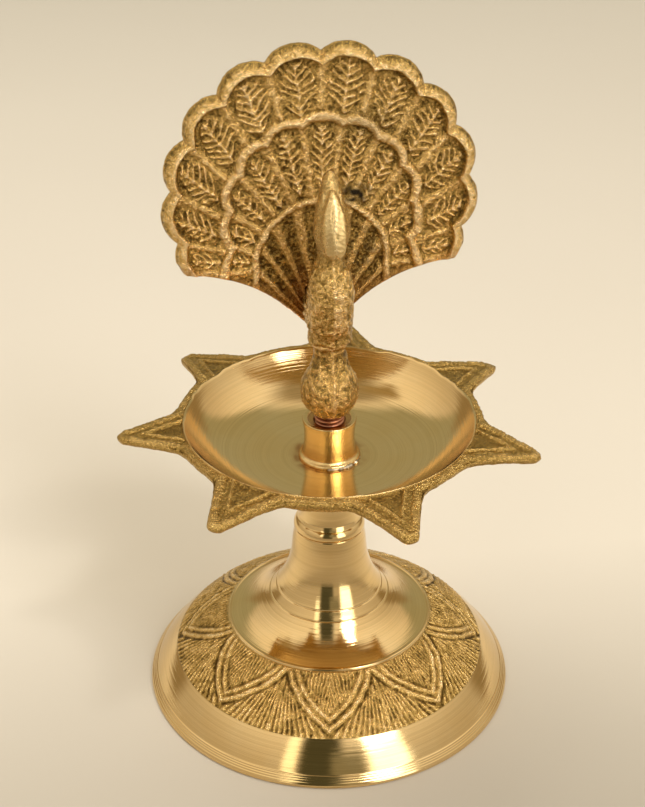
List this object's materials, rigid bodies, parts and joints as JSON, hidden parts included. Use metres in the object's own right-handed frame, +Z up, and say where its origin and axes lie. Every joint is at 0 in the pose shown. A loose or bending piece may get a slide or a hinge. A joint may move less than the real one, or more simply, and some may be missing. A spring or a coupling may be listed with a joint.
{
  "type": "standing oil lamp",
  "caption": "Standing brass oil lamp: a domed foot and bell stem carry a dish with a pointed rim, a central collar and a screw-in peacock finial with a fanned tail.",
  "frame": {"origin": "on the lamp's axis, in the plane that the foot's rim rests on", "axes": "+Z is up the lamp's axis, the peacock faces -Y, and +X is to the left-hand side of the bird"},
  "size_m": [0.105, 0.1074, 0.1778],
  "materials": {
    "turned_brass": "lathe turned and buffed, with the embossed parts left as cast",
    "cast_brass": "sand cast, grainy, lightly buffed on the high places",
    "copper_stud": "reddish copper-brown screw thread",
    "stud_brass": "plain dull brass"
  },
  "bodies": {
    "foot": {"base": "turned_brass"},
    "lower_stud": {"stem_stud": "stud_brass"},
    "dish": {"bowl": "turned_brass", "boss_collar": "turned_brass"},
    "upper_stud": {"finial_stud": "copper_stud"},
    "peacock": {"peacock_body": "cast_brass", "peacock_tail": "cast_brass", "tail_rivet": "stud_brass"}
  },
  "joints": [
    {"name": "dish_rise", "type": "slide", "parent": "foot", "child": "lower_stud", "axis": [0, 0, 1], "range_m": [0, 0.0105]},
    {"name": "dish_unscrew", "type": "hinge", "parent": "lower_stud", "child": "dish", "pos_m": [0, 0, 0.06], "axis": [0, 0, 1], "range_deg": [0, 2952]},
    {"name": "finial_rise", "type": "slide", "parent": "dish", "child": "upper_stud", "axis": [0, 0, 1], "range_m": [0, 0.0105]},
    {"name": "finial_unscrew", "type": "hinge", "parent": "upper_stud", "child": "peacock", "pos_m": [0, 0, 0.0823], "axis": [0, 0, 1], "range_deg": [0, 2790]}
  ],
  "couplings": [
    {"joint": "dish_rise", "follows": "dish_unscrew", "m_per_rad": 0.00019894},
    {"joint": "finial_rise", "follows": "finial_unscrew", "m_per_rad": 0.00019894}
  ]
}
